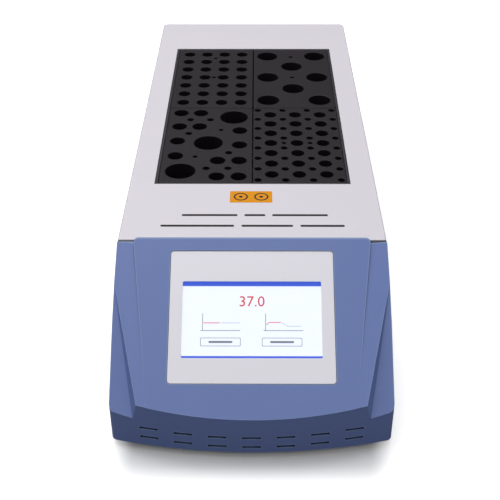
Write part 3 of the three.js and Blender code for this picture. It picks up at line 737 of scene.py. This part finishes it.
GRAPHS = [(-35.2, -7.4), (9.6, -7.4)]  # where each small graph's axes cross
AXIS_WIDTH, AXIS_HEIGHT, AXIS_LENGTH = 0.45, 12.4, 27
AXIS_START = -1.2  # the level axis starts this far beside the upright one
TRACE_WIDTH = 0.6
axes = []
for gx, gy in GRAPHS:
    axes.append(bar(gx, gy, gx + AXIS_WIDTH, gy + AXIS_HEIGHT))
    axes.append(bar(gx + AXIS_START, gy - AXIS_WIDTH, gx + AXIS_LENGTH, gy))
marks("picture_axes", GREY, axes)


def traces(*polylines):
    """One trace for each graph, its points from where the graph's axes cross."""
    return [stroke(shifted(points, *graph), TRACE_WIDTH) for graph, points in zip(GRAPHS, polylines)]


so_far = traces([(0.8, 5.4), (12.3, 5.4)], [(0.8, 4.2), (2.9, 5.8), (11, 5.8)])
ahead = traces([(12.9, 5.4), (27, 5.4)], [(11.6, 5.6), (15.8, 3.0), (25.5, 3.0)])
marks("picture_traces", PINK, so_far)
marks("picture_traces_ahead", SHADE, ahead)

BUTTONS = [(-22.1, -15.9), (21.4, -15.9)]
# Width, height, corner radius and steps round a corner, of a button, the hole in its outline and its bar.
BUTTON, BUTTON_HOLE, BUTTON_BAR = (28.5, 6.2, 0.8, 4), (27.7, 5.4, 0.5, 4), (17, 1.5, 0.7, 3)


def on_buttons(shape):
    return [shifted(rounded_outline(*shape), *place) for place in BUTTONS]


marks("picture_buttons", GREY, on_buttons(BUTTON), on_buttons(BUTTON_HOLE))
marks("picture_button_bars", GREY, on_buttons(BUTTON_BAR))


def number(name, digits, size, place, material):
    """A plain number on the screen, as a thin solid."""
    curve = bpy.data.curves.new(name, "FONT")
    curve.body = digits
    curve.align_x = "CENTER"
    curve.align_y = "CENTER"
    curve.size = size * MM
    curve.extrude = 0.02 * MM
    curve.resolution_u = 3
    curve.materials.append(material)
    piece = linked(name, curve)
    piece.matrix_world = PICTURE @ Matrix.Translation(Vector(place) * MM)
    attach(piece, "chassis")


READING_SIZE, READING_PLACE = 11, (0, 13.5, 0.16)
number("picture_reading", "37.0", READING_SIZE, READING_PLACE, RED)

# ---- Floor, light and camera ----
FLOOR_SIZE = 8  # metres
FLOOR_GLOW = 0.45  # how much a painted glow brightens the floor, away from the object
GLOW_STARTS, GLOW_IS_FULL = 0.005, 0.036  # metres from the object
SIDE_SHADOW_INSET = 20  # the floor starts to turn pale this far inside the object's sides
SIDE_SHADOW_FADE = 1.6  # and does so this much sooner there than in front


def pale_floor():
    """A wide pale floor, brightened by a painted glow away from the object, so that it shows shadow only
    close to the object. It sends just part of the light back up.
    """
    bpy.ops.mesh.primitive_plane_add(size=FLOOR_SIZE)
    floor = bpy.context.active_object
    floor.name = "floor"
    shader = Shader("floor", (0.95, 0.95, 0.96), 0.9)
    shader.vary_color(400, (0.94, 0.94, 0.95), (0.96, 0.96, 0.965))

    def vector(operation, *inputs):
        node = shader.add("ShaderNodeVectorMath", dict(enumerate(inputs)), operation=operation)
        return node.outputs["Value" if operation == "LENGTH" else "Vector"]

    half_size = (first_bounds[1] - first_bounds[0]) / 2
    object_side = (half_size.x - SIDE_SHADOW_INSET * MM, half_size.y, 0)
    beyond = vector("SUBTRACT", vector("ABSOLUTE", shader.place), object_side)
    stretched = vector("MULTIPLY", vector("MAXIMUM", beyond, (0, 0, 0)), (SIDE_SHADOW_FADE, 1, 1))
    distance = vector("LENGTH", stretched)
    lift = shader.mapped(
        distance, GLOW_STARTS, GLOW_IS_FULL, 0.0, FLOOR_GLOW, interpolation_type="SMOOTHSTEP"
    )
    glow = shader.add("ShaderNodeEmission", {"Color": (1, 1, 1, 1), "Strength": lift})
    dim = shader.add("ShaderNodeBsdfDiffuse", {"Color": (0.2, 0.2, 0.21, 1)})
    lit = {0: shader.surface.outputs["BSDF"], 1: glow.outputs["Emission"]}
    seen = shader.add("ShaderNodeAddShader", lit)
    to_camera = shader.add("ShaderNodeLightPath").outputs["Is Camera Ray"]
    ends = {1: dim.outputs["BSDF"], 2: seen.outputs["Shader"]}
    mix = shader.add("ShaderNodeMixShader", {0: to_camera, **ends})
    shader.show(mix.outputs["Shader"])
    floor.data.materials.append(shader.material)


def studio_world(strength):
    world = bpy.data.worlds.new("studio")
    bpy.context.scene.world = world
    world.use_nodes = True
    sky = world.node_tree.nodes["Background"]
    sky.inputs["Color"].default_value = (1, 1, 1, 1)
    sky.inputs["Strength"].default_value = strength


def softbox(name, place, target, size, power):
    """A rectangular lamp that points at a target, in metres and watts."""
    light = bpy.data.lights.new(name, "AREA")
    light.shape = "RECTANGLE"
    light.size, light.size_y = size
    light.energy = power
    lamp = linked(name, light)
    lamp.location = place
    lamp.rotation_euler = (Vector(target) - Vector(place)).to_track_quat("-Z", "Y").to_euler()


pale_floor()
studio_world(0.22)
softbox("overhead", (-0.3, 0.4, 1.7), (0, 0, 0.1), (1.6, 1.6), 26)
for side in (-1, 1):
    softbox("side_strip", (side * 1.1, 0.25, 0.95), (0, -0.1, 0.1), (0.25, 1.2), 2)
softbox("front_fill", (0, -1.5, 1.5), (0, -0.1, 0.1), (1.4, 0.8), 6)

CAMERA_PLACE = Vector((2.7 * MM, SEAM_Y - 574.8 * MM, TOP_Z + 386.9 * MM))
CAMERA_PITCH = math.radians(34.587)  # down from level
CAMERA_YAW = math.radians(-0.419)
CAMERA_ROLL = math.radians(0.15)
camera_data = bpy.data.cameras.new("camera")
camera_data.sensor_width = 36
camera_data.lens = 68.28
camera = linked("camera", camera_data)
camera.matrix_world = (
    Matrix.Translation(CAMERA_PLACE)
    @ Matrix.Rotation(-CAMERA_YAW, 4, "Z")
    @ Matrix.Rotation(math.pi / 2 - CAMERA_PITCH, 4, "X")
    @ Matrix.Rotation(-CAMERA_ROLL, 4, "Z")
)
bpy.context.scene.camera = camera
bpy.context.scene.view_settings.view_transform = "Standard"
